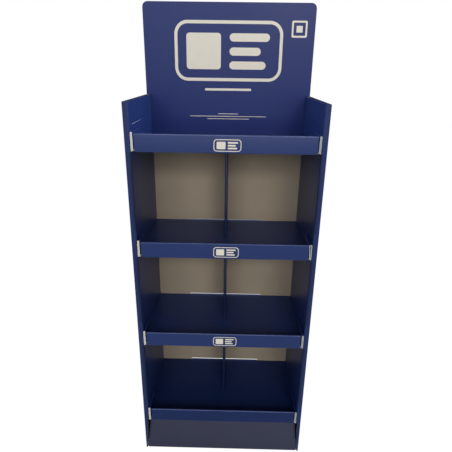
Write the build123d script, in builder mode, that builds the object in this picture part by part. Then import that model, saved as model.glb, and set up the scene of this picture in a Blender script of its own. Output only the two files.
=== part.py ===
"""A floor-standing display of folded corrugated board, sizes in millimetres.

A wrap of one sheet makes the two hollow side walls and the back. Four shelf trays, each
folded from one sheet, hang in slots of the wrap. Three dividers stand on the lower trays,
a header card stands behind the top tray, and a sloped kick panel and three slotted ribs
carry the bottom tray. X runs to the right, Y to the back and Z up, and the origin is at
the middle of the base.
"""

import os

from build123d import *

# Board
board = 3.0                     # thickness of the corrugated board
fold_inner_radius = 0.2         # inside of a tight fold
roll_flat = 0.2                 # flat left on the crown of a wall rolled back on itself
fit_gap = 0.3                   # play between two pieces that seat on each other
slot_play = 0.5                 # play round a tab in its slot
overrun = 1.0                   # how far a cut runs past the board

# Wrap: hollow sides and back
wrap_width = 600.0
wrap_depth = 360.0
wrap_height = 1316.5
spine_inner_radius = 1.2        # inside of the two folds on a side wall's front edge
spine_flat = 10.0               # flat between those folds
bottom_light_gap = 7.0          # room over the bottom tray's back tab, which lets light in
lower_light_gap = 4.8
upper_light_gap = 2.4
wall_slit_height = 1.2          # spare slit in each inner wall, over the top tray
wall_slit_front = 36.0
wall_slit_back = 188.0
wall_slit_rise = 23.0           # above the lip of the top tray

# Shelf trays
tray_count = 4
bottom_tray_rise = 139.8        # floor to the lower edge of the bottom lip
top_lip_drop = 90.0             # top of the wrap down to the top of the highest lip
lip_height = 54.0
left_cheek_rise = 5.5           # over the lip
right_cheek_rise = 1.0
cheek_end_rise = 2.5            # a cheek's outer leaf ends this much over the lip's lower edge
cheek_depth = 95.0
lip_end_gap = 4.0               # open corner between the lip and a cheek
cheek_foot = 0.4                # floor that stays on a cheek beside the open corner
under_flap_depth = 60.0         # end of the lip, turned under the floor
back_tab_width = 300.0
back_tab_proud = 3.0            # how far a back tab comes out behind the wrap
side_tab_length = 60.0
side_tab_reach = 4.0            # how far a side tab hooks in behind the inner wall
side_tab_front = 125.0          # front plane to the first side tab
side_tab_rear = 27.0            # from the second side tab to the inside of the back
side_tab_corner = 2.0
sprung_crown = 3.2              # one cheek's crown has sprung open by this much

# Dividers
divider_setback = 164.0         # front plane to the divider's folded edge
divider_thickness = 9.0         # over both of its panels
divider_tab_length = 50.0
divider_tab_inset = 24.0        # from the divider's front and back edges

# Header card
header_rise = 302.0             # above the side walls
header_inset = 3.6              # in from the outer faces of the wrap
header_corner_radius = 18.0
header_shoulder_radius = 2.0
header_tail = 40.0              # down behind the top tray, below its floor

# Kick panel and ribs under the bottom tray
kick_setback = 50.0             # how far the slope leans back at its top
kick_foot_depth = 80.0
kick_foot_start = 8.0           # from here the foot flap is narrower than the slope
kick_flange_depth = 52.0
kick_top_overhang = 2.2         # the slope is wider than the trays, by this at its top
kick_bottom_overhang = 9.2
kick_side_gap = 3.0             # from the slope's side edges to the wrap's notches
kick_notch_play = 1.0           # room behind the slope's top in those notches
rib_setback = 230.0             # front plane to the long rib
rib_spread = 280.0              # between the two cross ribs
rib_front_gap = 24.0            # from the kick panel's flange to a cross rib
rib_slot_play = 0.4

# Places that follow from the sizes above
fold_radius = fold_inner_radius + board / 2
roll_thickness = 2 * (board + fold_inner_radius) + roll_flat
side_thickness = 2 * (board + spine_inner_radius) + spine_flat
inner_half = wrap_width / 2 - side_thickness
back_face = wrap_depth - board
total_depth = wrap_depth + back_tab_proud
front = -total_depth / 2
tray_pitch = (wrap_height - top_lip_drop - lip_height - bottom_tray_rise) / (tray_count - 1)
tray_half = inner_half - fit_gap
cheek_face = tray_half - roll_thickness
lip_half = cheek_face - lip_end_gap
kick_top = bottom_tray_rise - fit_gap
kick_top_half = tray_half + kick_top_overhang
kick_bottom_half = tray_half + kick_bottom_overhang
floor_under = board + fit_gap
floor_top = floor_under + board
tab_slot_height = board + 2 * slot_play
light_gaps = [bottom_light_gap, lower_light_gap, upper_light_gap]
header_back = back_face - fit_gap
header_face = header_back - board
tray_names = ["bottom_tray", "lower_tray", "upper_tray", "top_tray"]
divider_names = ["lower_divider", "middle_divider", "upper_divider"]
tray_bases = [bottom_tray_rise + n * tray_pitch for n in range(tray_count)]
side_tab_middles = [
    side_tab_front + side_tab_length / 2,
    back_face - side_tab_rear - side_tab_length / 2,
]
divider_tab_middles = [
    divider_setback + divider_tab_inset + divider_tab_length / 2,
    back_face - fit_gap - divider_tab_inset - divider_tab_length / 2,
]


def section_plane(rise):
    """A plane that looks along X, with its origin on the front plane at this height."""
    return Plane(origin=(0, front, rise), x_dir=(0, 1, 0), z_dir=(1, 0, 0))


def save(piece, name):
    """Label a finished piece and write it to its own file."""
    piece.label = name
    export_step(piece, f"parts/{name}.step")


def build_wrap():
    """Inner wall, spine, outer wall and back, and the same again: one sheet in plan."""
    with BuildPart() as wrap:
        wall = inner_half + board / 2
        outer = wrap_width / 2 - board / 2
        with BuildSketch(Plane.XY):
            with BuildLine():
                FilletPolyline(
                    (-wall, front + back_face - fit_gap),
                    (-wall, front + board / 2),
                    (-outer, front + board / 2),
                    (-outer, front + wrap_depth - board / 2),
                    (outer, front + wrap_depth - board / 2),
                    (outer, front + board / 2),
                    (wall, front + board / 2),
                    (wall, front + back_face - fit_gap),
                    radius=spine_inner_radius + board / 2,
                )
            trace(line_width=board)
        extrude(amount=wrap_height)
        # A long slot in the back for the tab of each tray but the top one
        for base, gap in zip(tray_bases, light_gaps):
            slot_height = slot_play + board + gap
            slot_middle = base + floor_under - slot_play + slot_height / 2
            with Locations((0, front + back_face + board / 2, slot_middle)):
                Box(
                    back_tab_width + 2 * slot_play,
                    board + 2 * overrun,
                    slot_height,
                    mode=Mode.SUBTRACT,
                )
        # Short slots in both inner walls for the side tabs
        with Locations(
            *[
                (side * (inner_half + board / 2), front + middle, base + floor_under + board / 2)
                for side in (-1, 1)
                for middle in side_tab_middles
                for base in tray_bases
            ]
        ):
            Box(
                board + 2 * overrun,
                side_tab_length + 2 * slot_play,
                tab_slot_height,
                mode=Mode.SUBTRACT,
            )
        # The spare slits over the top tray
        slit_rise = wrap_height - top_lip_drop + wall_slit_rise
        with Locations(
            *[
                (
                    side * (inner_half + board / 2),
                    front + (wall_slit_front + wall_slit_back) / 2,
                    slit_rise,
                )
                for side in (-1, 1)
            ]
        ):
            Box(
                board + 2 * overrun,
                wall_slit_back - wall_slit_front,
                wall_slit_height,
                mode=Mode.SUBTRACT,
            )
        # A notch at each side, low in front, that the kick panel's wide slope stands in
        with BuildSketch(Plane.XZ.offset(overrun - front)):
            for side in (-1, 1):
                Polygon(
                    (side * (inner_half - overrun), 0),
                    (side * (kick_bottom_half + kick_side_gap), 0),
                    (side * (kick_top_half + kick_side_gap), bottom_tray_rise),
                    (side * (inner_half - overrun), bottom_tray_rise),
                    align=None,
                )
        extrude(amount=-(overrun + kick_setback + board + kick_notch_play), mode=Mode.SUBTRACT)
    return wrap.part


def build_tray(base, floor_back, right_spring, is_shelf):
    """A floor with its front wall rolled over into the lip and a rolled cheek at each side.

    Each shelf under the top tray has a back tab, and slots for the tabs of a divider.
    """
    with BuildPart() as tray:
        # Floor, front wall, lip and the flap under the floor
        with BuildSketch(section_plane(base)):
            with BuildLine():
                FilletPolyline(
                    (floor_back, floor_top - board / 2),
                    (roll_thickness - board / 2, floor_top - board / 2),
                    (roll_thickness - board / 2, lip_height - board / 2),
                    (board / 2, lip_height - board / 2),
                    (board / 2, board / 2),
                    (under_flap_depth, board / 2),
                    radius=fold_radius,
                )
            trace(line_width=board)
        extrude(amount=lip_half, both=True)
        # The floor beside the lip, and the full floor behind the cheeks
        with BuildSketch(Plane.XY.offset(base + floor_under)):
            for half, start in (
                (cheek_face, roll_thickness + board),
                (tray_half, cheek_depth),
            ):
                with Locations((0, front + (start + floor_back) / 2)):
                    Rectangle(2 * half, floor_back - start)
            if is_shelf:
                with Locations((0, front + (floor_back + total_depth) / 2)):
                    Rectangle(back_tab_width, total_depth - floor_back)
            tab_reach = fit_gap + board + side_tab_reach
            for side in (-1, 1):
                for middle in side_tab_middles:
                    with Locations((side * tray_half, front + middle)):
                        RectangleRounded(2 * tab_reach, side_tab_length, side_tab_corner)
        extrude(amount=board)
        # A cheek at each side: up, over and down to near the level of the lip's lower edge
        for side, rise, spring in ((-1, left_cheek_rise, 0), (1, right_cheek_rise, right_spring)):
            crown = base + lip_height + rise - board / 2
            with BuildSketch(Plane.XZ.offset(-front)):
                with BuildLine():
                    FilletPolyline(
                        (side * (cheek_face - cheek_foot), base + floor_top - board / 2),
                        (side * (cheek_face + board / 2), base + floor_top - board / 2),
                        (side * (cheek_face + board / 2 - spring), crown),
                        (side * (tray_half - board / 2), crown),
                        (side * (tray_half - board / 2), base + cheek_end_rise),
                        radius=fold_radius,
                    )
                trace(line_width=board)
            extrude(amount=-cheek_depth)
        if is_shelf:
            with Locations(
                *[(0, front + middle, base + floor_under + board / 2) for middle in divider_tab_middles]
            ):
                Box(
                    divider_thickness + 2 * slot_play,
                    divider_tab_length + 2 * slot_play,
                    board + 2 * overrun,
                    mode=Mode.SUBTRACT,
                )
    return tray.part


def build_divider(base, behind):
    """A sheet folded back on itself along its front edge, its tabs flush under the floor."""
    height = tray_pitch + floor_under - floor_top - fit_gap
    back_end = front + behind - fit_gap
    panel_middle = (divider_thickness - board) / 2
    with BuildPart() as divider:
        with BuildSketch(Plane.XY.offset(base + floor_top)):
            with BuildLine():
                FilletPolyline(
                    (-panel_middle, back_end),
                    (-panel_middle, front + divider_setback + board / 2),
                    (panel_middle, front + divider_setback + board / 2),
                    (panel_middle, back_end),
                    radius=fold_radius,
                )
            trace(line_width=board)
        extrude(amount=height)
        with BuildSketch(Plane.XY.offset(base + floor_top)):
            with Locations(
                *[
                    (side * panel_middle, front + middle)
                    for side in (-1, 1)
                    for middle in divider_tab_middles
                ]
            ):
                Rectangle(board, divider_tab_length)
        extrude(amount=-board)
    return divider.part


def build_header():
    """A flat card: wide above the side walls, with a neck that goes down between them."""
    upper_half = wrap_width / 2 - header_inset
    neck_end = tray_bases[-1] + floor_under - header_tail
    card_top = wrap_height + header_rise
    with BuildPart() as header:
        with BuildSketch(Plane.XZ.offset(-front - header_face)) as outline:
            with Locations((0, (wrap_height + card_top) / 2)):
                Rectangle(2 * upper_half, card_top - wrap_height)
            with Locations((0, (neck_end + card_top) / 2)):
                Rectangle(2 * tray_half, card_top - neck_end)
            corners = outline.vertices().group_by(Axis.Y)
            fillet(corners[-1], radius=header_corner_radius)
            fillet(corners[0], radius=header_shoulder_radius)
        extrude(amount=-board)
    return header.part


def build_kick_panel():
    """A foot flap, a wide panel that leans back, and a flange glued under the bottom tray."""
    with BuildPart() as kick:
        with BuildSketch(section_plane(0)):
            with BuildLine():
                FilletPolyline(
                    (kick_foot_depth, board / 2),
                    (board / 2, board / 2),
                    (kick_setback, kick_top - board / 2),
                    (kick_setback + kick_flange_depth, kick_top - board / 2),
                    radius=fold_radius,
                )
            trace(line_width=board)
        extrude(amount=kick_bottom_half, both=True)
        # The slope tapers to its top
        with BuildSketch(Plane.XZ.offset(-front)):
            Polygon(
                (-kick_bottom_half, 0),
                (kick_bottom_half, 0),
                (kick_top_half, kick_top),
                (-kick_top_half, kick_top),
                align=None,
            )
        extrude(amount=-(kick_setback + kick_flange_depth), mode=Mode.INTERSECT)
        # The foot flap and the flange are narrower, and fit between the inner walls
        for start, end, middle in (
            (kick_foot_start, kick_foot_depth, board / 2),
            (kick_setback + board, kick_setback + kick_flange_depth, kick_top - board / 2),
        ):
            aside = (tray_half + kick_bottom_half) / 2
            with Locations(*[(side * aside, front + (start + end) / 2, middle) for side in (-1, 1)]):
                Box(
                    kick_bottom_half - tray_half,
                    end - start,
                    board + 2 * fit_gap,
                    mode=Mode.SUBTRACT,
                )
    return kick.part


rib_top = bottom_tray_rise + floor_under - fit_gap
rib_slot_width = board + 2 * rib_slot_play


def build_long_rib():
    """Runs from side to side, with a slot from above for each cross rib."""
    with BuildPart() as rib:
        with BuildSketch(Plane.XZ.offset(-front - rib_setback)):
            with Locations((0, rib_top / 2)):
                Rectangle(2 * tray_half, rib_top)
            with Locations(
                *[(side * rib_spread / 2, (rib_top / 2 + rib_top + overrun) / 2) for side in (-1, 1)]
            ):
                Rectangle(rib_slot_width, rib_top / 2 + overrun, mode=Mode.SUBTRACT)
        extrude(amount=-board)
    return rib.part


def build_cross_rib(side):
    """Runs from front to back, with a slot from below that drops over the long rib."""
    start = kick_setback + kick_flange_depth + rib_front_gap
    end = back_face - fit_gap
    with BuildPart() as rib:
        with BuildSketch(section_plane(0).offset(side * rib_spread / 2)):
            with Locations(((start + end) / 2, rib_top / 2)):
                Rectangle(end - start, rib_top)
            with Locations((rib_setback + board / 2, (rib_top / 2 - overrun) / 2)):
                Rectangle(rib_slot_width, rib_top / 2 + overrun, mode=Mode.SUBTRACT)
        extrude(amount=board / 2, both=True)
    return rib.part


os.makedirs("parts", exist_ok=True)
save(build_wrap(), "wrap")
save(build_header(), "header_card")
for name, base in zip(tray_names, tray_bases):
    behind = header_face if name == "top_tray" else back_face
    spring = sprung_crown if name == "upper_tray" else 0
    save(build_tray(base, behind - fit_gap, spring, name != "top_tray"), name)
for name, base in zip(divider_names, tray_bases):
    behind = header_face if name == "upper_divider" else back_face
    save(build_divider(base, behind), name)
save(build_kick_panel(), "kick_panel")
save(build_long_rib(), "long_rib")
save(build_cross_rib(-1), "left_cross_rib")
save(build_cross_rib(1), "right_cross_rib")
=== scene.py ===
import functools
import math

import bmesh
import bpy
from mathutils import Matrix, Vector


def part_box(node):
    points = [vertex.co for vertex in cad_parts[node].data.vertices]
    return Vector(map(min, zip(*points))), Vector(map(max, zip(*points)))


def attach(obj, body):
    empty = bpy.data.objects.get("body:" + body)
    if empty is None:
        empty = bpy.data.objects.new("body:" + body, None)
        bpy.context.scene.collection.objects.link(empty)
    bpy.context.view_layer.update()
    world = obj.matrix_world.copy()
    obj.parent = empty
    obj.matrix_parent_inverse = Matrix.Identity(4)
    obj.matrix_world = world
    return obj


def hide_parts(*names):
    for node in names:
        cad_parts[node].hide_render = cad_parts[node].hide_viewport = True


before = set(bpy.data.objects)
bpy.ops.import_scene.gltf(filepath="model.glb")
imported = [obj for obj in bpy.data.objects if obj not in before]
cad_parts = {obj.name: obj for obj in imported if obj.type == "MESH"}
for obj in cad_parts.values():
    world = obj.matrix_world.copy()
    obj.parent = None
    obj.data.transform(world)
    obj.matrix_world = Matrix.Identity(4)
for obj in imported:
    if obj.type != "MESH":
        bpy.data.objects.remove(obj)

bl_info = {
    "name": "Cardboard display stand",
    "version": (1, 0, 0),
    "blender": (4, 5, 0),
    "location": "View3D > Sidebar > Display stand",
    "description": "Dresses a folded corrugated display stand and sets its studio",
    "category": "Object",
}

TRAYS = ("bottom_tray", "lower_tray", "upper_tray", "top_tray")
MARKED_TRAYS = TRAYS[1:]
DIVIDERS = ("lower_divider", "middle_divider", "upper_divider")
RIBS = ("long_rib", "left_cross_rib", "right_cross_rib")

WRAP_LOW, WRAP_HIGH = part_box("wrap")
HEADER_LOW, HEADER_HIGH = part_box("header_card")
FRONT = WRAP_LOW.y
MM = 0.001

# Places, folds and clearances of the solids
SLIT_LEVEL = WRAP_HIGH.z - 67 * MM
FOLD_RADIUS = 2.7 * MM
TRAY_PLAY = 0.3 * MM
UNDER_FLAP_DEPTH = 60 * MM
KICK_FOOT_DEPTH = 80 * MM
KICK_SETBACK = 50 * MM

# Margins that tell a face from its neighbours
FLOOR_LAP = 2 * MM
LIP_MARGIN = 1 * MM
CHEEK_MARGIN = 0.1 * MM
SLIT_MARGIN = 1 * MM
SPINE_MARGIN = 5 * MM

# How closely a face looks along a direction, as the cosine of the angle between them
FACING = 0.7
FACING_ALONG_SHEET = 0.72
FACING_UP = 0.99
UNFOLDED = 0.995
TURNED_UP = 0.2
TURNED_TO_FRONT = 0.05
DIVIDER_TURNED_TO_FRONT = 0.1
SLOPE_MATCH = 0.02

# Meshes
MERGE_DISTANCE = 0.005 * MM
LEVEL_TOLERANCE = 0.01 * MM
FLAT_ANGLE = math.radians(0.5)
SHARP_ANGLE = math.radians(35)
FOLD_STEPS = 6
CORNER_STEPS = 8
WAVE_STEPS = 10

# Sockets of a Mix node for colours, by place, because its names repeat
MIX_FACTOR, MIX_FIRST, MIX_SECOND, MIX_RESULT = 0, 6, 7, 2

X, Y, Z = range(3)

# The finishes of a sheet, in the order of its material slots; the last two are a part's own
PRINTED, FOLD, LINER, EDGE, GREY_EDGE, SHADE_PAINTED, OWN, OWN_FOLD = range(8)


class BoardSizes(bpy.types.PropertyGroup):
    """Sizes of the board that the dressing needs."""

    board: bpy.props.FloatProperty(
        name="Board", description="Thickness of the corrugated board", default=3.0 * MM, unit="LENGTH"
    )
    rolled_wall: bpy.props.FloatProperty(
        name="Rolled wall", description="Thickness of a wall that is rolled back on itself",
        default=6.6 * MM, unit="LENGTH",
    )
    side_wall: bpy.props.FloatProperty(
        name="Side wall", description="Thickness of a hollow side wall",
        default=18.4 * MM, unit="LENGTH",
    )
    floor_top: bpy.props.FloatProperty(
        name="Floor top", description="Height of a tray's floor above its lip's lower edge",
        default=6.3 * MM, unit="LENGTH",
    )
    cheek_depth: bpy.props.FloatProperty(
        name="Cheek depth", description="Length of a tray's cheek", default=95.0 * MM, unit="LENGTH"
    )
    lip_end: bpy.props.FloatProperty(
        name="Lip end", description="Open corner between a lip and the cheek beside it",
        default=4.0 * MM, unit="LENGTH",
    )
    lip_drop: bpy.props.FloatProperty(
        name="Lip drop", description="How far a lip's top is below the left cheek",
        default=5.5 * MM, unit="LENGTH",
    )
    right_cheek_drop: bpy.props.FloatProperty(
        name="Right cheek drop", description="How far the right cheek's top is below the left one's",
        default=4.5 * MM, unit="LENGTH",
    )
    flute_pitch: bpy.props.FloatProperty(
        name="Flute pitch", description="Length of one wave of the core",
        default=6.5 * MM, unit="LENGTH",
    )
    flute_depth: bpy.props.FloatProperty(
        name="Flute depth", description="How deep a cut edge is open",
        default=2.5 * MM, unit="LENGTH",
    )
    paper: bpy.props.FloatProperty(
        name="Paper", description="Thickness of a liner at a cut edge",
        default=0.35 * MM, unit="LENGTH",
    )
    # Between the trays the spine's front is painted dark as shade over this width
    spine_shade: bpy.props.FloatProperty(
        name="Spine shade",
        description="Width of the spine's front that curves away into shade between the trays",
        default=6.5 * MM, unit="LENGTH",
    )
    ink_film: bpy.props.FloatProperty(
        name="Ink film", description="How far a printed mark stands proud",
        default=0.15 * MM, unit="LENGTH",
    )


class BoardColours(bpy.types.PropertyGroup):
    """Colours of the board and of its print."""

    ink: bpy.props.FloatVectorProperty(
        name="Ink", description="Blue print", default=(0.0105, 0.03, 0.138), subtype="COLOR", size=3
    )
    ink_worn: bpy.props.FloatVectorProperty(
        name="Worn ink", description="Blue print where it is rubbed",
        default=(0.045, 0.075, 0.22), subtype="COLOR", size=3,
    )
    header_ink: bpy.props.FloatVectorProperty(
        name="Header ink", description="Blue print of the header card, with a little less green",
        default=(0.0105, 0.0249, 0.142), subtype="COLOR", size=3,
    )
    # Blue print greyed with a painted reflection of the room, as the sloped panel catches it
    kick_ink: bpy.props.FloatVectorProperty(
        name="Kick panel ink", description="Greyer print of the kick panel",
        default=(0.031, 0.036, 0.072), subtype="COLOR", size=3,
    )
    mark: bpy.props.FloatVectorProperty(
        name="Mark", description="Pale print of the marks",
        default=(0.84, 0.8, 0.7), subtype="COLOR", size=3,
    )
    liner: bpy.props.FloatVectorProperty(
        name="Liner", description="Unprinted side of the board",
        default=(0.315, 0.264, 0.198), subtype="COLOR", size=3,
    )
    core: bpy.props.FloatVectorProperty(
        name="Core", description="Cut edge of the board",
        default=(0.87, 0.83, 0.72), subtype="COLOR", size=3,
    )
    # A plain grey cut-edge colour for the right cheeks' ends and the header card's edges
    dusty: bpy.props.FloatVectorProperty(
        name="Dusty edge", description="Greyed cut edge of the right cheeks and of the header card",
        default=(0.49, 0.52, 0.54), subtype="COLOR", size=3,
    )
    # Dark colour painted as shade on the wrap's open top edge, its core, the slit's edges and the
    # hollow inside the side walls
    inked_edge: bpy.props.FloatVectorProperty(
        name="Inked edge", description="Darkened upper edges of the wrap",
        default=(0.05, 0.065, 0.16), subtype="COLOR", size=3,
    )
    burr: bpy.props.FloatVectorProperty(
        name="Burr", description="Paper torn up along the slit in a side wall",
        default=(0.5, 0.57, 0.78), subtype="COLOR", size=3,
    )


class StageSettings(bpy.types.PropertyGroup):
    """Camera and light of the studio."""

    camera_place: bpy.props.FloatVectorProperty(
        name="Camera", description="Place of the camera",
        default=(0.0220, -1.4085, 1.4091), subtype="XYZ", size=3,
    )
    camera_heading: bpy.props.FloatProperty(
        name="Heading", description="Turn to the right of the depth axis",
        default=math.radians(-0.842), subtype="ANGLE",
    )
    camera_dip: bpy.props.FloatProperty(
        name="Dip", description="Tilt below the level", default=math.radians(20.769), subtype="ANGLE"
    )
    camera_roll: bpy.props.FloatProperty(
        name="Roll", description="Turn about the line of sight",
        default=math.radians(0.778), subtype="ANGLE",
    )
    lens: bpy.props.FloatProperty(
        name="Lens", description="Focal length in millimetres on a 36 mm sensor", default=33.134
    )
    world_light: bpy.props.FloatProperty(
        name="Room light", description="Strength of the even light", default=0.15
    )
    world_sheen: bpy.props.FloatProperty(
        name="Room sheen", description="Strength of the room in reflections", default=0.78
    )
    room_tint: bpy.props.FloatVectorProperty(
        name="Room tint", description="Colour of the room in reflections",
        default=(0.62, 0.69, 1.0), subtype="COLOR", size=3,
    )
    key_light: bpy.props.FloatProperty(
        name="Key light", description="Power of the small warm lamp high in front, to the right",
        default=15.0, unit="POWER",
    )
    key_tint: bpy.props.FloatVectorProperty(
        name="Key tint", description="Colour of the key light",
        default=(1.0, 0.91, 0.73), subtype="COLOR", size=3,
    )
    high_light: bpy.props.FloatProperty(
        name="High light", description="Power of the wide soft lamp high in front",
        default=90.0, unit="POWER",
    )
    front_light: bpy.props.FloatProperty(
        name="Front light", description="Power of the wide soft lamp at eye height",
        default=32.0, unit="POWER",
    )
    back_light: bpy.props.FloatProperty(
        name="Back light", description="Power of the wide soft lamp high behind the stand",
        default=60.0, unit="POWER",
    )
    right_light: bpy.props.FloatProperty(
        name="Right light", description="Power of the lamp beside the stand at the right",
        default=40.0, unit="POWER",
    )
    left_light: bpy.props.FloatProperty(
        name="Left light", description="Power of the lamp beside the stand at the left",
        default=18.0, unit="POWER",
    )


def sizes():
    """The board's sizes, as set in the sidebar."""
    return bpy.context.scene.stand_sizes


def colours():
    """The board's colours, as set in the sidebar."""
    return bpy.context.scene.stand_colours


def stage_settings():
    """The studio's settings, as set in the sidebar."""
    return bpy.context.scene.stand_stage


# Shader helpers


def shared(collection):
    """Have a maker build each named material or group once, and hand it out again after that."""

    def around(make):
        @functools.wraps(make)
        def give(name, *values, **named_values):
            found = getattr(bpy.data, collection).get(name)
            return make(name, *values, **named_values) if found is None else found

        return give

    return around


def fill_inputs(tree, node, inputs):
    """Set or link a node's inputs by name or place."""
    for key, value in inputs.items():
        if isinstance(value, bpy.types.NodeSocket):
            tree.links.new(value, node.inputs[key])
        else:
            node.inputs[key].default_value = value


def add_node(tree, kind, inputs=None, **settings):
    """Make a node, set its settings, and set or link its inputs."""
    node = tree.nodes.new(kind)
    for key, value in settings.items():
        setattr(node, key, value)
    fill_inputs(tree, node, inputs or {})
    return node


def new_group(name, inputs, outputs):
    """A shader group, its inputs, vectors where no default is given, and its outputs, all numbers."""
    tree = bpy.data.node_groups.new(name, "ShaderNodeTree")
    for label, default in inputs.items():
        kind = "NodeSocketVector" if default is None else "NodeSocketFloat"
        socket = tree.interface.new_socket(name=label, in_out="INPUT", socket_type=kind)
        if default is not None:
            socket.default_value = default
    for label in outputs:
        tree.interface.new_socket(name=label, in_out="OUTPUT", socket_type="NodeSocketFloat")
    return tree, tree.nodes.new("NodeGroupInput").outputs, tree.nodes.new("NodeGroupOutput").inputs


def group_node(tree, make_group, inputs):
    """Place a shared group in a material, with its own values, and give its outputs."""
    node = tree.nodes.new("ShaderNodeGroup")
    node.node_tree = make_group(make_group.__name__)
    fill_inputs(tree, node, inputs)
    return node.outputs


def calculated(tree, operation, *values):
    """The result of one step of arithmetic on values or sockets."""
    node = add_node(tree, "ShaderNodeMath", dict(enumerate(values)), operation=operation)
    return node.outputs["Value"]


def scaled(tree, value, low, high, start=0.0, end=1.0, style="LINEAR"):
    """Map the range from start to end onto the one from low to high."""
    inputs = {"Value": value, "From Min": start, "From Max": end, "To Min": low, "To Max": high}
    return add_node(tree, "ShaderNodeMapRange", inputs, interpolation_type=style).outputs["Result"]


def soft_step(tree, value, start, end, low=0.0, high=1.0):
    """Pass smoothly from low to high while a value goes from start to end."""
    return scaled(tree, value, low, high, start, end, "SMOOTHSTEP")


def noise(tree, place, scale, detail, roughness=0.5):
    """Cloudy noise of a scale in waves to the metre."""
    inputs = {"Vector": place, "Scale": scale, "Detail": detail, "Roughness": roughness}
    return add_node(tree, "ShaderNodeTexNoise", inputs).outputs["Fac"]


def wave_along(tree, distance, pitch):
    """A sine wave of this pitch along a distance."""
    turns = calculated(tree, "DIVIDE", distance, pitch)
    angle = calculated(tree, "MULTIPLY", turns, 2 * math.pi)
    return calculated(tree, "SINE", angle)


def mix_colour(tree, factor, first, second):
    """Mix two colours, each a value or a socket."""
    inputs = {MIX_FACTOR: factor}
    for key, value in ((MIX_FIRST, first), (MIX_SECOND, second)):
        inputs[key] = value if isinstance(value, bpy.types.NodeSocket) else (*value, 1.0)
    return add_node(tree, "ShaderNodeMix", inputs, data_type="RGBA").outputs[MIX_RESULT]


def shaded(colour, factor, lift=0.0):
    """A colour made darker or lighter, and then lifted by a little grey."""
    return [part * factor + lift for part in colour]


@shared("node_groups")
def paper_grain(name):
    """Cloudy tone and fine fibres of a paper liner."""
    tree, given, result = new_group(
        name, {"Position": None, "Cloud Scale": 6.0, "Fibre Scale": 900.0}, ("Tone", "Height")
    )
    cloud = noise(tree, given["Position"], given["Cloud Scale"], detail=3.0)
    fibre = noise(tree, given["Position"], given["Fibre Scale"], detail=2.0, roughness=0.6)
    tone = add_node(tree, "ShaderNodeMix", {"Factor": 0.25, "A": cloud, "B": fibre})
    tree.links.new(tone.outputs["Result"], result["Tone"])
    tree.links.new(fibre, result["Height"])
    return tree


@shared("node_groups")
def washboard(name):
    """The soft ridges that the flutes press through a liner."""
    tree, given, result = new_group(name, {"Across": 0.0, "Pitch": 6.5 * MM}, ("Height",))
    wave = wave_along(tree, given["Across"], given["Pitch"])
    tree.links.new(calculated(tree, "MULTIPLY_ADD", wave, 0.5, 0.5), result["Height"])
    return tree


@shared("node_groups")
def rubbed_specks(name):
    """Scattered small rubs in the print."""
    least_noise = 0.8
    blur = 0.08
    tree, given, result = new_group(name, {"Position": None, "Scale": 60.0, "Amount": 0.3}, ("Mask",))
    speck = noise(tree, given["Position"], given["Scale"], detail=6.0, roughness=0.75)
    start = calculated(tree, "SUBTRACT", least_noise, given["Amount"])
    end = calculated(tree, "ADD", start, blur)
    tree.links.new(soft_step(tree, speck, start, end), result["Mask"])
    return tree


def new_material(name, grain_scales=None):
    """A material with its tree, the Object coordinates and its paper grain."""
    material = bpy.data.materials.new(name)
    material.use_nodes = True
    tree = material.node_tree
    place = tree.nodes.new("ShaderNodeTexCoord").outputs["Object"]
    grain = group_node(tree, paper_grain, {"Position": place, **(grain_scales or {})})
    return material, tree, place, grain


def flute_ridges(tree, place, axes):
    """The ridges of flutes; the distance across them is the sum of the coordinates on two axes."""
    parts = add_node(tree, "ShaderNodeSeparateXYZ", {"Vector": place}).outputs
    across = calculated(tree, "ADD", parts[axes[0]], parts[axes[1]])
    return group_node(tree, washboard, {"Across": across, "Pitch": sizes().flute_pitch})["Height"]


def paint(material, colour, roughness, sheen, relief=()):
    """Feed a material's shader; the relief is a row of heights, each with its depth."""
    tree = material.node_tree
    shader = tree.nodes["Principled BSDF"]
    inputs = {"Base Color": colour, "Roughness": roughness, "Specular IOR Level": sheen}
    fill_inputs(tree, shader, inputs)
    normal = None
    for height, depth in relief:
        inputs = {"Height": height, "Distance": depth, "Strength": 1.0}
        if normal is not None:
            inputs["Normal"] = normal
        normal = add_node(tree, "ShaderNodeBump", inputs).outputs["Normal"]
    if normal is not None:
        tree.links.new(normal, shader.inputs["Normal"])


# Finishes


@shared("materials")
def printed_finish(name, flute_axes, rub, print_colour, sheen):
    """Print on a smooth liner, with the flutes' ridges under it."""
    material, tree, place, grain = new_material(name)
    specks = group_node(tree, rubbed_specks, {"Position": place, "Amount": rub})
    ridges = flute_ridges(tree, place, flute_axes)
    ink = mix_colour(tree, grain["Tone"], shaded(print_colour, 0.92), shaded(print_colour, 1.1))
    paint(
        material,
        colour=mix_colour(tree, specks["Mask"], ink, colours().ink_worn),
        roughness=scaled(tree, grain["Tone"], low=0.3, high=0.42),
        sheen=sheen,
        relief=[(ridges, 0.04 * MM), (grain["Height"], 0.02 * MM)],
    )
    return material


@shared("materials")
def fold_finish(name, rub, share=0.45, depth=1.0):
    """Print over a fold, cracked, lighter by this share of the worn ink and this deep in colour; a
    large share paints a highlight along a lip's crown, and a depth under one paints shade.
    """
    material, tree, place, grain = new_material(name, {"Cloud Scale": 25.0})
    cracks = group_node(tree, rubbed_specks, {"Position": place, "Scale": 220.0, "Amount": rub})
    paired = zip(colours().ink, colours().ink_worn)
    rubbed = [(ink + (worn - ink) * share) * depth for ink, worn in paired]
    ink = mix_colour(tree, grain["Tone"], shaded(colours().ink, depth), rubbed)
    paint(
        material,
        colour=mix_colour(tree, cracks["Mask"], ink, colours().ink_worn),
        roughness=scaled(tree, grain["Tone"], low=0.28, high=0.4),
        sheen=0.45,
        relief=[(grain["Height"], 0.03 * MM)],
    )
    return material


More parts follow.
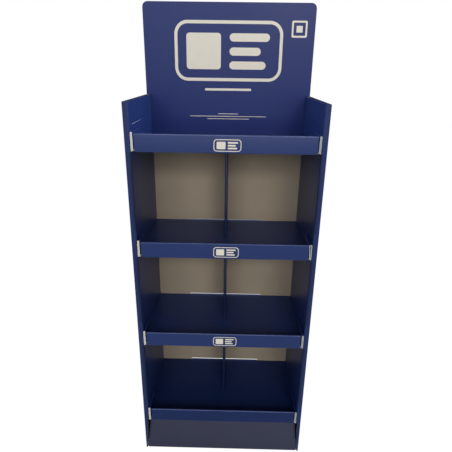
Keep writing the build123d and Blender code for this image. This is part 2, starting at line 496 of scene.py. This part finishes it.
@shared("materials")
def liner_finish(name, flute_axes):
    """The unprinted side: warm grey recycled paper, paler along the flutes' ridges."""
    material, tree, place, grain = new_material(name, {"Cloud Scale": 9.0, "Fibre Scale": 700.0})
    ridges = flute_ridges(tree, place, flute_axes)
    liner = colours().liner
    paper = mix_colour(tree, grain["Tone"], shaded(liner, 0.86), shaded(liner, 1.12))
    stripes = scaled(tree, ridges, low=0.0, high=0.03)
    paint(
        material,
        colour=mix_colour(tree, stripes, paper, colours().core),
        roughness=0.8,
        sheen=0.25,
        relief=[(ridges, 0.03 * MM), (grain["Height"], 0.05 * MM)],
    )
    return material


@shared("materials")
def edge_finish(name, core):
    """A cut edge: pale fibres, a little torn."""
    scales = {"Cloud Scale": 120.0, "Fibre Scale": 1500.0}
    material, tree, _, grain = new_material(name, scales)
    paint(
        material,
        colour=mix_colour(tree, grain["Tone"], shaded(core, 0.72), core),
        roughness=0.9,
        sheen=0.2,
        relief=[(grain["Height"], 0.15 * MM)],
    )
    return material


@shared("materials")
def mark_finish(name):
    """Pale print of the plain marks."""
    material, tree, _, grain = new_material(name, {"Cloud Scale": 30.0})
    mark = colours().mark
    paint(
        material,
        colour=mix_colour(tree, grain["Tone"], shaded(mark, 0.88), mark),
        roughness=scaled(tree, grain["Tone"], low=0.4, high=0.55),
        sheen=0.3,
    )
    return material


@shared("materials")
def spine_finish(name):
    """Print of the narrow front faces, painted a little darker and greyer as shade, and painted dark
    as shade along the inner fold between the trays.
    """
    material, tree, place, grain = new_material(name)
    blur = 1.5 * MM
    beside_tray_share, blur_share = 0.25, 0.04
    shade_end = WRAP_HIGH.x - sizes().side_wall + sizes().spine_shade
    low, pitch = tray_places()
    parts = add_node(tree, "ShaderNodeSeparateXYZ", {"Vector": place}).outputs
    across = calculated(tree, "ABSOLUTE", parts["X"])
    outer = soft_step(tree, across, shade_end, shade_end + blur)
    turns = calculated(tree, "DIVIDE", calculated(tree, "SUBTRACT", parts["Z"], low), pitch)
    share = calculated(tree, "FRACT", turns)
    tray_end = beside_tray_share + blur_share
    beside_tray = soft_step(tree, share, beside_tray_share, tray_end, low=1.0, high=0.0)
    over_trays = calculated(tree, "GREATER_THAN", turns, len(TRAYS) - 1)
    unshaded = calculated(tree, "MAXIMUM", beside_tray, over_trays)
    lit = calculated(tree, "MAXIMUM", outer, unshaded)
    # Painted shade: a dark ink between the trays, and a darker, greyer ink over the rest of the face
    dark = shaded(colours().ink, 0.42, lift=0.0055)
    dimmed_spine_ink = shaded(colours().ink, 0.85, lift=0.006)
    face = mix_colour(tree, grain["Tone"], shaded(dimmed_spine_ink, 0.9), dimmed_spine_ink)
    paint(
        material,
        colour=mix_colour(tree, lit, dark, face),
        roughness=scaled(tree, grain["Tone"], low=0.36, high=0.5),
        sheen=0.2,
        relief=[(grain["Height"], 0.02 * MM)],
    )
    return material


def sheet_finishes(part, flutes, sheen=0.35, rub=0.08, print_colour=None):
    """The finishes of a sheet whose flutes run upright or level."""
    axes = ("X", "Y") if flutes == "upright" else ("Y", "Z")
    ink = colours().ink if print_colour is None else print_colour
    return [
        printed_finish(f"print_{part}", axes, rub, ink, sheen),
        fold_finish("print_folded", rub=0.2),
        liner_finish(f"liner_{flutes}", axes),
        edge_finish("cut_edge", colours().core),
        edge_finish("cut_edge_dusty", colours().dusty),
        edge_finish("cut_edge_inked", colours().inked_edge),
    ]


# Sheets


def tray_places():
    """Height of the lowest tray, and the step from tray to tray."""
    heights = [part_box(node)[0].z for node in TRAYS]
    return heights[0], heights[1] - heights[0]


def points(*pairs):
    """Flat points of a folded sheet's middle line."""
    return [Vector(pair) for pair in pairs]


def offset_from_line(point, line):
    """Signed distance from a folded sheet's middle line, above zero left of its run, and that run."""
    nearest, heading = None, None
    for start, end in zip(line, line[1:]):
        run = end - start
        share = max(0.0, min(1.0, (point - start).dot(run) / run.length_squared))
        apart = point - (start + run * share)
        if nearest is None or apart.length < abs(nearest):
            side = run.x * apart.y - run.y * apart.x
            nearest = math.copysign(apart.length, side)
            heading = run.normalized()
    return nearest, heading


def sheet_side(point, normal, line, across, print_on_left):
    """Tell a face's finish: along the line's run it is printed, liner or cut edge."""
    if abs(normal[across]) > FACING:
        return EDGE
    flat = [axis for axis in range(3) if axis != across]
    offset, heading = offset_from_line(Vector([point[axis] for axis in flat]), line)
    looks_along = abs(heading.dot(Vector([normal[axis] for axis in flat]))) > FACING_ALONG_SHEET
    if looks_along and abs(offset) < sizes().board / 4:
        return EDGE
    if (offset > 0) != print_on_left:
        return LINER
    return PRINTED if max(abs(part) for part in normal) >= UNFOLDED else FOLD


def add_object(name, data):
    """A new object in the scene."""
    made = bpy.data.objects.new(name, data)
    bpy.context.scene.collection.objects.link(made)
    return made


def mount(piece):
    """Let a piece ride on the stand."""
    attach(piece, "root")


def finished(name, piece_mesh, materials, replaced=()):
    """Turn a bmesh into a piece of the stand."""
    mesh = bpy.data.meshes.new(name)
    piece_mesh.to_mesh(mesh)
    piece_mesh.free()
    mesh.set_sharp_from_angle(angle=SHARP_ANGLE)
    for material in materials:
        mesh.materials.append(material)
    piece = add_object(name, mesh)
    mount(piece)
    if replaced:
        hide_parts(*replaced)


def open_edge(piece_mesh, top):
    """Sink the sheet's core under its top edge, between the two liners, and paint the rim and the sunk
    faces dark as shade.
    """
    faces = [
        face for face in piece_mesh.faces
        if face.normal.z > FACING_UP and abs(face.calc_center_median().z - top) < LEVEL_TOLERANCE
    ]
    for thickness, depth in ((sizes().paper, 0.0), (0.0, -sizes().flute_depth)):
        sides = bmesh.ops.inset_region(
            piece_mesh, faces=faces, thickness=thickness, depth=depth, use_even_offset=True
        )["faces"]
        for face in [*sides, *faces]:
            face.material_index = SHADE_PAINTED
            face.smooth = True


def dressed(name, node, finish_of, materials, open_top=None):
    """Copy a CAD node into a piece with a finish on each face, which replaces the node."""
    piece_mesh = bmesh.new()
    piece_mesh.from_mesh(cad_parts[node].data)
    bmesh.ops.remove_doubles(piece_mesh, verts=piece_mesh.verts, dist=MERGE_DISTANCE)
    for face in piece_mesh.faces:
        face.material_index = finish_of(face.calc_center_median(), face.normal)
        face.smooth = True
    bmesh.ops.dissolve_limit(
        piece_mesh, angle_limit=FLAT_ANGLE, delimit={"MATERIAL"},
        verts=piece_mesh.verts, edges=piece_mesh.edges,
    )
    if open_top is not None:
        open_edge(piece_mesh, open_top)
    finished(name, piece_mesh, materials, [node])


def wrap_line():
    """Middle line of the wrap in plan."""
    half = sizes().board / 2
    outer = WRAP_HIGH.x - half
    wall = WRAP_HIGH.x - sizes().side_wall + half
    back = WRAP_HIGH.y - half
    end = back - sizes().board
    near = FRONT + half
    return points(
        (-wall, end), (-wall, near), (-outer, near), (-outer, back),
        (outer, back), (outer, near), (wall, near), (wall, end),
    )


def rounded(line, radius):
    """The same line with an arc at each corner."""
    made = [line[0]]
    for before, corner, after in zip(line, line[1:], line[2:]):
        back = (before - corner).normalized()
        on = (after - corner).normalized()
        centre = corner + (back + on) * radius
        for step in range(FOLD_STEPS + 1):
            turn = math.pi / 2 * step / FOLD_STEPS
            made.append(centre - on * radius * math.cos(turn) - back * radius * math.sin(turn))
    return [*made, line[-1]]


@shared("node_groups")
def flute_core(name):
    """Node tree: a wavy strip of paper along a path."""
    tree = bpy.data.node_groups.new(name, "GeometryNodeTree")
    kinds = {
        "Path": "Geometry", "Pitch": "Float", "Amplitude": "Float",
        "Paper": "Float", "Depth": "Float", "Finish": "Material",
    }
    for label, kind in kinds.items():
        tree.interface.new_socket(name=label, in_out="INPUT", socket_type=f"NodeSocket{kind}")
    tree.interface.new_socket(name="Core", in_out="OUTPUT", socket_type="NodeSocketGeometry")
    given = tree.nodes.new("NodeGroupInput").outputs
    result = tree.nodes.new("NodeGroupOutput").inputs
    path = add_node(tree, "GeometryNodeMeshToCurve", {"Mesh": given["Path"]})
    step = calculated(tree, "MULTIPLY", given["Pitch"], 1 / WAVE_STEPS)
    fine = add_node(
        tree,
        "GeometryNodeResampleCurve",
        {"Curve": path.outputs["Curve"], "Length": step},
        mode="LENGTH",
    )
    level = add_node(
        tree, "GeometryNodeSetCurveNormal", {"Curve": fine.outputs["Curve"]}, mode="Z_UP"
    )
    along = tree.nodes.new("GeometryNodeSplineParameter").outputs["Length"]
    swing = calculated(tree, "MULTIPLY", wave_along(tree, along, given["Pitch"]), given["Amplitude"])
    outward = tree.nodes.new("GeometryNodeInputNormal").outputs["Normal"]
    sideways = add_node(
        tree, "ShaderNodeVectorMath", {"Vector": outward, "Scale": swing}, operation="SCALE"
    )
    waved = add_node(
        tree,
        "GeometryNodeSetPosition",
        {"Geometry": level.outputs["Curve"], "Offset": sideways.outputs["Vector"]},
    )
    strip = add_node(
        tree,
        "GeometryNodeCurvePrimitiveQuadrilateral",
        {"Width": given["Paper"], "Height": given["Depth"]},
    )
    core = add_node(
        tree,
        "GeometryNodeCurveToMesh",
        {
            "Curve": waved.outputs["Geometry"],
            "Profile Curve": strip.outputs["Curve"],
            "Fill Caps": True,
        },
    )
    real = add_node(tree, "GeometryNodeRealizeInstances", {"Geometry": core.outputs["Mesh"]})
    coloured = add_node(
        tree,
        "GeometryNodeSetMaterial",
        {"Geometry": real.outputs["Geometry"], "Material": given["Finish"]},
    )
    tree.links.new(coloured.outputs["Geometry"], result["Core"])
    return tree


def add_flutes(name, line, top):
    """The core's waves in an open top edge, along the sheet's middle line, painted dark as shade."""
    size = sizes()
    sunk = 0.03 * MM
    level = top - sunk - size.flute_depth / 2
    steps = [(n, n + 1) for n in range(len(line) - 1)]
    path = bpy.data.meshes.new(name)
    path.from_pydata([(x, y, level) for x, y in line], steps, [])
    piece = add_object(name, path)
    modifier = piece.modifiers.new("flutes", "NODES")
    modifier.node_group = flute_core("flute_core")
    values = {
        "Pitch": size.flute_pitch,
        "Amplitude": size.board / 2 - size.paper - size.paper / 2,
        "Paper": size.paper,
        "Depth": size.flute_depth,
        "Finish": edge_finish("cut_edge_inked", colours().inked_edge),
    }
    for socket in modifier.node_group.interface.items_tree:
        if socket.in_out == "INPUT" and socket.name in values:
            modifier[socket.identifier] = values[socket.name]
    evaluated = piece.evaluated_get(bpy.context.evaluated_depsgraph_get())
    waves = bpy.data.meshes.new_from_object(evaluated)
    piece.modifiers.remove(modifier)
    piece.data = waves
    waves.name = name
    bpy.data.meshes.remove(path)
    mount(piece)


def dress_wrap():
    """Print outside and on the inner walls, bare liner inside the back, and a fluted top edge; the top
    edge, the slit's edges and the hollow inside the side walls are painted dark as shade.
    """
    line = wrap_line()
    spine_back = FRONT + SPINE_MARGIN
    hollow = WRAP_HIGH.x - sizes().side_wall + sizes().board / 2

    def finish_of(point, normal):
        finish = sheet_side(point, normal, line, across=Z, print_on_left=True)
        # The spine's front takes the spine print with its painted shade
        on_spine = normal.y < -TURNED_TO_FRONT and point.y < spine_back
        if finish in (PRINTED, FOLD) and on_spine:
            return OWN
        # The liner inside the hollow side walls is painted dark as shade
        if finish == LINER and abs(point.x) > hollow:
            return SHADE_PAINTED
        # The slit's cut edges are painted dark as shade
        if finish == EDGE and abs(point.z - SLIT_LEVEL) < SLIT_MARGIN:
            return SHADE_PAINTED
        return finish

    materials = [*sheet_finishes("wrap", "upright", sheen=0.5), spine_finish("print_spine")]
    dressed("folded_wrap", "wrap", finish_of, materials, open_top=WRAP_HIGH.z)
    add_flutes("wrap_flutes", rounded(line, FOLD_RADIUS), WRAP_HIGH.z)
    add_slit_burr()


def add_slit_burr():
    """Paper torn up along the front half of the slit in the left wall."""
    # Distance from the wrap's front and height of the torn paper, in millimetres
    profile = ((36, 0.5), (40, 1.1), (70, 1.2), (100, 0.9), (150, 0.4), (186, 0.2))
    proud_share, below_share, above_share = 0.25, 0.4, 0.6
    wall = -WRAP_HIGH.x + sizes().side_wall
    burr = bmesh.new()
    rows = []
    for along, tall in profile:
        place = FRONT + along * MM
        proud = wall + proud_share * tall * MM
        low = SLIT_LEVEL - below_share * tall * MM
        high = SLIT_LEVEL + above_share * tall * MM
        corners = ((wall, low), (proud, low), (proud, high), (wall, high))
        rows.append([burr.verts.new((x, place, z)) for x, z in corners])
    for before, after in zip(rows, rows[1:]):
        for n in range(4):
            following = (n + 1) % 4
            burr.faces.new((before[n], before[following], after[following], after[n]))
    burr.faces.new(rows[0])
    burr.faces.new(rows[-1])
    bmesh.ops.recalc_face_normals(burr, faces=burr.faces)
    finished("slit_burr", burr, [edge_finish("torn_paper", colours().burr)])


def dress_header():
    """Print on the front, bare liner behind, greyed cut edges."""
    quarter = sizes().board / 4
    middle = (HEADER_LOW.y + HEADER_HIGH.y) / 2

    def finish_of(point, normal):
        if abs(normal.y) < FACING or abs(point.y - middle) < quarter:
            return GREY_EDGE
        return PRINTED if normal.y < 0 else LINER

    materials = sheet_finishes("header", "upright", sheen=0.17, print_colour=colours().header_ink)
    dressed("header_board", "header_card", finish_of, materials)


def dress_tray(node):
    """Print on the floor's top, round the lip and round both cheeks, with a painted highlight along
    each lip's crown and painted shade over the bottom tray's print.
    """
    low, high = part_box(node)
    size = sizes()
    half = size.board / 2
    base = low.z
    top = high.z - size.lip_drop - half
    crown = high.z - half
    level = base + size.floor_top - half
    near = FRONT + half
    wall = FRONT + size.rolled_wall - half
    tray_half = WRAP_HIGH.x - size.side_wall - TRAY_PLAY
    cheek = tray_half - size.rolled_wall
    past_lip = cheek - size.lip_end + LIP_MARGIN
    cheek_back = FRONT + size.cheek_depth + CHEEK_MARGIN
    front_line = points(
        (high.y, level), (wall, level), (wall, top), (near, top), (near, base + half),
        (FRONT + UNDER_FLAP_DEPTH, base + half),
    )
    cheek_lines = {
        side: points(
            (side * (cheek - FLOOR_LAP), level),
            (side * (cheek + half), level),
            (side * (cheek + half), crown - drop),
            (side * (tray_half - half), crown - drop),
            (side * (tray_half - half), base),
        )
        for side, drop in ((-1, 0), (1, size.right_cheek_drop))
    }

    def finish_of(point, normal):
        if abs(point.x) > past_lip and point.y < cheek_back:
            side = 1 if point.x > 0 else -1
            finish = sheet_side(point, normal, cheek_lines[side], across=Y, print_on_left=side > 0)
            if finish == FOLD:
                return OWN_FOLD
            return GREY_EDGE if finish == EDGE and side > 0 and normal.y < 0 else finish
        finish = sheet_side(point, normal, front_line, across=X, print_on_left=False)
        on_crown = point.z > top and normal.z > TURNED_UP
        return OWN if finish == FOLD and on_crown else finish

    # The bottom tray's print is painted darker, as shade that falls off towards the floor
    if node == "bottom_tray":
        painted_shade_ink = shaded(colours().ink, 0.75)
        materials = sheet_finishes("bottom_tray", "level", sheen=0.2, print_colour=painted_shade_ink)
    else:
        materials = sheet_finishes("tray", "level")
    # Each lip's crown is lightened as a painted highlight, strongest on the top tray, over its cracked
    # crease wear
    highlight_crown_name, share = ("print_top_crown", 3.6) if node == "top_tray" else ("print_lip_crown", 1.2)
    materials.append(fold_finish(highlight_crown_name, rub=0.3, share=share))
    materials.append(edge_finish("print_cheek_crown", colours().ink))
    dressed(f"folded_{node}", node, finish_of, materials)


def dress_divider(node):
    """Print on both outer sides, and a fold at the front painted darker as shade."""
    low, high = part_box(node)
    half = sizes().board / 2
    panel = high.x - half
    near = low.y + half
    line = points((-panel, high.y), (-panel, near), (panel, near), (panel, high.y))

    def finish_of(point, normal):
        finish = sheet_side(point, normal, line, across=Z, print_on_left=False)
        at_front = normal.y < -DIVIDER_TURNED_TO_FRONT
        return OWN if finish in (FOLD, PRINTED) and at_front else finish

    materials = sheet_finishes("divider", "upright")
    # The front fold's darker ink is painted shade
    materials.append(fold_finish("print_divider_front", rub=0.1, share=0.2, depth=0.4))
    dressed(f"folded_{node}", node, finish_of, materials)


def dress_kick_panel():
    """Print on the slope, greyed with a painted reflection, and bare liner behind it."""
    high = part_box("kick_panel")[1]
    half = sizes().board / 2
    top = high.z - half
    line = points(
        (FRONT + KICK_FOOT_DEPTH, half), (FRONT + half, half),
        (FRONT + KICK_SETBACK, top), (high.y, top),
    )
    slope = (line[2] - line[1]).normalized()

    def finish_of(point, normal):
        finish = sheet_side(point, normal, line, across=X, print_on_left=True)
        leaning = abs(normal.y + slope.y) < SLOPE_MATCH
        return PRINTED if finish == FOLD and leaning else finish

    materials = sheet_finishes("kick_panel", "upright", rub=0.1, print_colour=colours().kick_ink)
    dressed("folded_kick_panel", "kick_panel", finish_of, materials)


# Printed marks


def rounded_box(left, right, low, high, radius):
    """A rectangle with round corners, seen from the front."""
    made = []
    for x, z, start in (
        (right - radius, high - radius, 0),
        (left + radius, high - radius, 1),
        (left + radius, low + radius, 2),
        (right - radius, low + radius, 3),
    ):
        for step in range(CORNER_STEPS + 1):
            turn = math.pi / 2 * (start + step / CORNER_STEPS)
            made.append((x + radius * math.cos(turn), z + radius * math.sin(turn)))
    return made


def bar_points(left, right, low, high):
    """A level bar with round ends, whose corners just don't meet."""
    corner_share = 1 / 2.001
    return rounded_box(left, right, low, high, (high - low) * corner_share)


def ink_plate(marks, face, outline, inner=None):
    """A flat film of ink in front of a face, with a hole where an inner outline is given."""
    outlines = [outline] if inner is None else [outline, inner]
    rows = [
        [[marks.verts.new((x, y, z)) for x, z in ring] for ring in outlines]
        for y in (face - sizes().ink_film, face)
    ]
    steps = [(n, (n + 1) % len(outline)) for n in range(len(outline))]
    for front, back in zip(*rows):
        for n, after in steps:
            marks.faces.new((front[n], front[after], back[after], back[n]))
    for row in rows:
        if inner is None:
            marks.faces.new(row[0])
        else:
            for n, after in steps:
                marks.faces.new((row[0][n], row[0][after], row[1][after], row[1][n]))


def placeholder(marks, face, centre, width, height):
    """A round-cornered frame with a solid box and three bars in it, all in shares of its size."""
    line_share, corner_share = 0.028, 0.12
    box_left_share, box_right_share, box_half_share, box_corner_share = 0.39, 0.07, 0.3, 0.03
    bar_left_share, bar_half_share = 0.01, 0.067
    bar_step_and_reach_shares = ((0.23, 0.38), (0.0, 0.3), (-0.23, 0.35))
    x, z = centre
    half, tall = width / 2, height / 2
    line, corner = width * line_share, width * corner_share
    outer = rounded_box(x - half, x + half, z - tall, z + tall, corner)
    inner = rounded_box(
        x - half + line, x + half - line, z - tall + line, z + tall - line, corner - line
    )
    ink_plate(marks, face, outer, inner)
    box = rounded_box(
        x - width * box_left_share,
        x - width * box_right_share,
        z - height * box_half_share,
        z + height * box_half_share,
        width * box_corner_share,
    )
    ink_plate(marks, face, box)
    left = x + width * bar_left_share
    bar_half = height * bar_half_share
    for step, reach in bar_step_and_reach_shares:
        level = z + height * step
        ink_plate(marks, face, bar_points(left, x + width * reach, level - bar_half, level + bar_half))


def finish_marks(name, marks):
    """Turn ink plates into a piece of pale print."""
    bmesh.ops.recalc_face_normals(marks, faces=marks.faces)
    finished(name, marks, [mark_finish("pale_print")])


def add_header_marks():
    """A large placeholder over a rule, fine rules low down, and a small plain square."""
    # Millimetres to the right of the stand's middle, and down from the card's top edge
    frame_middle, frame_size = (-1, 154.5), (377, 197)
    square_middle = (242.5, 81)
    square_half, hole_half, box_half = 26.5, 20.5, 10.5
    square_corner, hole_corner, box_corner = 5, 3, 2
    # Left, right, low and high of a rule and of three fine rules
    rules = (
        (-84, 83, 285.5, 277.5),
        (-36, 38, 367.5, 365.6),
        (-139, 141, 376.5, 374.6),
        (-76, 78, 385.5, 383.6),
    )
    face = HEADER_LOW.y
    marks = bmesh.new()

    def place(right, down):
        return right * MM, HEADER_HIGH.z - down * MM

    def square_outline(half, corner):
        x, z = place(*square_middle)
        reach = half * MM
        return rounded_box(x - reach, x + reach, z - reach, z + reach, corner * MM)

    width, height = frame_size
    placeholder(marks, face, place(*frame_middle), width * MM, height * MM)
    hole = square_outline(hole_half, hole_corner)
    ink_plate(marks, face, square_outline(square_half, square_corner), hole)
    ink_plate(marks, face, square_outline(box_half, box_corner))
    for left, right, low, high in rules:
        left_place, low_place = place(left, low)
        right_place, high_place = place(right, high)
        ink_plate(marks, face, bar_points(left_place, right_place, low_place, high_place))
    finish_marks("header_marks", marks)


def add_lip_marks(node):
    """A small placeholder in the middle of a lip."""
    width, height = 82 * MM, 36 * MM
    right, down = 5 * MM, 3 * MM
    low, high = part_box(node)
    level = low.z + (high.z - low.z - sizes().lip_drop) / 2 - down
    marks = bmesh.new()
    placeholder(marks, FRONT, (right, level), width, height)
    finish_marks(f"{node}_mark", marks)


# Stage


def seen_directly(tree, seen):
    """One where the camera sees a surface or the room itself, and zero in reflections."""
    return calculated(tree, "MAXIMUM", seen["Is Camera Ray"], seen["Is Transmission Ray"])


def stage_material(name):
    """A pale floor that shows white to the camera, dimmer in reflections, and dark under the stand."""
    grey = 0.45
    shown_share, reflected_share = 0.92, 0.14
    white = 1.08
    dark_inset, clear_inset = 4 * MM, 1 * MM
    material = bpy.data.materials.new(name)
    material.use_nodes = True
    tree = material.node_tree
    tree.nodes.clear()
    seen = tree.nodes.new("ShaderNodeLightPath").outputs
    shown = calculated(tree, "MULTIPLY", seen_directly(tree, seen), shown_share)
    glow = calculated(tree, "MULTIPLY_ADD", seen["Is Glossy Ray"], reflected_share, shown)
    place = tree.nodes.new("ShaderNodeTexCoord").outputs["Object"]
    parts = add_node(tree, "ShaderNodeSeparateXYZ", {"Vector": place}).outputs
    beyond = []
    for axis, reach in (("X", WRAP_HIGH.x), ("Y", WRAP_HIGH.y)):
        apart = calculated(tree, "ABSOLUTE", parts[axis])
        beyond.append(soft_step(tree, apart, reach - dark_inset, reach - clear_inset))
    clear = calculated(tree, "MAXIMUM", *beyond)
    matt = add_node(tree, "ShaderNodeBsdfDiffuse", {"Color": (grey, grey, grey, 1.0)})
    bright = add_node(tree, "ShaderNodeEmission", {"Color": (1.0, 1.0, 1.0, 1.0), "Strength": white})
    share = calculated(tree, "MULTIPLY", glow, clear)
    mixed = add_node(
        tree, "ShaderNodeMixShader", {0: share, 1: matt.outputs["BSDF"], 2: bright.outputs["Emission"]}
    )
    out = tree.nodes.new("ShaderNodeOutputMaterial")
    tree.links.new(mixed.outputs["Shader"], out.inputs["Surface"])
    return material


def add_floor():
    """A wide pale floor under the stand."""
    mesh = bpy.data.meshes.new("studio_floor")
    reach = 12.0
    corners = [(-reach, -reach, 0), (reach, -reach, 0), (reach, reach, 0), (-reach, reach, 0)]
    mesh.from_pydata(corners, [], [(0, 1, 2, 3)])
    mesh.materials.append(stage_material("studio_white"))
    add_object("studio_floor", mesh)


def add_world():
    """An even room that looks white to the camera."""
    settings = stage_settings()
    world = bpy.data.worlds.new("studio_room")
    bpy.context.scene.world = world
    world.use_nodes = True
    tree = world.node_tree
    tree.nodes.clear()
    seen = tree.nodes.new("ShaderNodeLightPath").outputs
    glossy = seen["Is Glossy Ray"]
    even = scaled(tree, glossy, settings.world_light, settings.world_sheen)
    strength = scaled(tree, seen_directly(tree, seen), even, 1.0)
    tint = mix_colour(tree, glossy, (1.0, 1.0, 1.0), settings.room_tint)
    light = add_node(tree, "ShaderNodeBackground", {"Color": tint, "Strength": strength})
    out = tree.nodes.new("ShaderNodeOutputWorld")
    tree.links.new(light.outputs["Background"], out.inputs["Surface"])


def add_lamp(name, place, target, size, power, tint=(1.0, 1.0, 1.0)):
    """A soft rectangular lamp that looks at its target."""
    data = bpy.data.lights.new(name, "AREA")
    data.shape = "RECTANGLE"
    data.size, data.size_y = size
    data.energy = power
    data.color = tint
    lamp = add_object(name, data)
    lamp.location = place
    lamp.rotation_euler = (Vector(target) - Vector(place)).to_track_quat("-Z", "Y").to_euler()


def add_lamps():
    """A small warm lamp and soft lamps in front, one high behind, and a lamp at each side."""
    settings = stage_settings()
    middle = (0.0, 0.0, 0.9)
    key, tint = settings.key_light, settings.key_tint
    add_lamp("key_lamp", (0.9, -3.4, 2.5), middle, (0.6, 0.35), key, tint)
    # Name, place, target, width and height, and power
    for lamp in (
        ("high_softbox", (0.0, -4.5, 2.7), middle, (4.0, 1.2), settings.high_light),
        ("front_softbox", (0.0, -4.5, 1.4), middle, (4.0, 1.0), settings.front_light),
        ("back_softbox", (0.0, 1.6, 4.6), (0.0, 0.18, 0.9), (4.0, 1.0), settings.back_light),
        ("right_lamp", (2.2, 0.05, 1.9), (-0.28, 0.0, 1.26), (0.5, 0.5), settings.right_light),
        ("left_lamp", (-2.2, 0.05, 1.9), (0.28, 0.0, 1.26), (0.5, 0.5), settings.left_light),
    ):
        add_lamp(*lamp)


def add_camera():
    """The photograph's place, direction and lens."""
    settings = stage_settings()
    heading, dip, roll = settings.camera_heading, settings.camera_dip, settings.camera_roll
    ahead = Vector(
        (math.sin(heading) * math.cos(dip), math.cos(heading) * math.cos(dip), -math.sin(dip))
    )
    level = Vector((math.cos(heading), -math.sin(heading), 0))
    above = level.cross(ahead)
    right = math.cos(roll) * level + math.sin(roll) * above
    up = math.cos(roll) * above - math.sin(roll) * level
    data = bpy.data.cameras.new("photo_camera")
    data.sensor_width = 36.0
    data.sensor_fit = "HORIZONTAL"
    data.lens = settings.lens
    camera = add_object("photo_camera", data)
    turn = Matrix((right, up, -ahead)).transposed().to_4x4()
    camera.matrix_world = Matrix.Translation(Vector(settings.camera_place)) @ turn
    bpy.context.scene.camera = camera


# Operators


class STAND_OT_wrap(bpy.types.Operator):
    """Dress the folded wrap: side walls and back"""

    bl_idname = "display_stand.wrap"
    bl_label = "Dress wrap"

    def execute(self, context):
        dress_wrap()
        return {"FINISHED"}


class STAND_OT_header(bpy.types.Operator):
    """Dress the header card and print its plain marks"""

    bl_idname = "display_stand.header"
    bl_label = "Dress header"

    def execute(self, context):
        dress_header()
        add_header_marks()
        return {"FINISHED"}


class STAND_OT_trays(bpy.types.Operator):
    """Dress the four shelf trays and print the marks on their lips"""

    bl_idname = "display_stand.trays"
    bl_label = "Dress trays"

    def execute(self, context):
        for node in TRAYS:
            dress_tray(node)
        for node in MARKED_TRAYS:
            add_lip_marks(node)
        return {"FINISHED"}


class STAND_OT_dividers(bpy.types.Operator):
    """Dress the three dividers"""

    bl_idname = "display_stand.dividers"
    bl_label = "Dress dividers"

    def execute(self, context):
        for node in DIVIDERS:
            dress_divider(node)
        return {"FINISHED"}


class STAND_OT_kick_panel(bpy.types.Operator):
    """Dress the sloped kick panel"""

    bl_idname = "display_stand.kick_panel"
    bl_label = "Dress kick panel"

    def execute(self, context):
        dress_kick_panel()
        return {"FINISHED"}


class STAND_OT_ribs(bpy.types.Operator):
    """Give the ribs under the bottom tray their plain board"""

    bl_idname = "display_stand.ribs"
    bl_label = "Finish ribs"

    def execute(self, context):
        plain = liner_finish("liner_upright", ("X", "Y"))
        for node in RIBS:
            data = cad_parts[node].data
            data.materials.clear()
            data.materials.append(plain)
        return {"FINISHED"}


class STAND_OT_stage(bpy.types.Operator):
    """Set up the floor, the light and the camera"""

    bl_idname = "display_stand.stage"
    bl_label = "Set up studio"

    def execute(self, context):
        add_floor()
        add_world()
        add_lamps()
        add_camera()
        context.scene.view_settings.view_transform = "Standard"
        return {"FINISHED"}


OPERATORS = (
    STAND_OT_wrap,
    STAND_OT_header,
    STAND_OT_trays,
    STAND_OT_dividers,
    STAND_OT_kick_panel,
    STAND_OT_ribs,
    STAND_OT_stage,
)


class STAND_PT_panel(bpy.types.Panel):
    """Everything that dresses the display stand"""

    bl_idname = "STAND_PT_panel"
    bl_label = "Display stand"
    bl_space_type = "VIEW_3D"
    bl_region_type = "UI"
    bl_category = "Display stand"

    def draw(self, context):
        for group in (sizes(), colours(), stage_settings()):
            column = self.layout.column(align=True)
            for key in group.__annotations__:
                column.prop(group, key)
        for operator in OPERATORS:
            self.layout.operator(operator.bl_idname)


PROPERTY_GROUPS = (BoardSizes, BoardColours, StageSettings)


def register():
    """Register the classes and hang the settings on the scene."""
    for made in (*PROPERTY_GROUPS, *OPERATORS, STAND_PT_panel):
        bpy.utils.register_class(made)
    bpy.types.Scene.stand_sizes = bpy.props.PointerProperty(type=BoardSizes)
    bpy.types.Scene.stand_colours = bpy.props.PointerProperty(type=BoardColours)
    bpy.types.Scene.stand_stage = bpy.props.PointerProperty(type=StageSettings)


def unregister():
    """Take the settings off the scene and unregister the classes."""
    del bpy.types.Scene.stand_sizes
    del bpy.types.Scene.stand_colours
    del bpy.types.Scene.stand_stage
    for made in (STAND_PT_panel, *reversed(OPERATORS), *reversed(PROPERTY_GROUPS)):
        bpy.utils.unregister_class(made)


def main():
    """Dress the stand piece by piece and set up its studio."""
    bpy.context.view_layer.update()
    register()
    bpy.ops.display_stand.wrap()
    bpy.ops.display_stand.header()
    bpy.ops.display_stand.trays()
    bpy.ops.display_stand.dividers()
    bpy.ops.display_stand.kick_panel()
    bpy.ops.display_stand.ribs()
    bpy.ops.display_stand.stage()


if __name__ == "__main__":
    main()
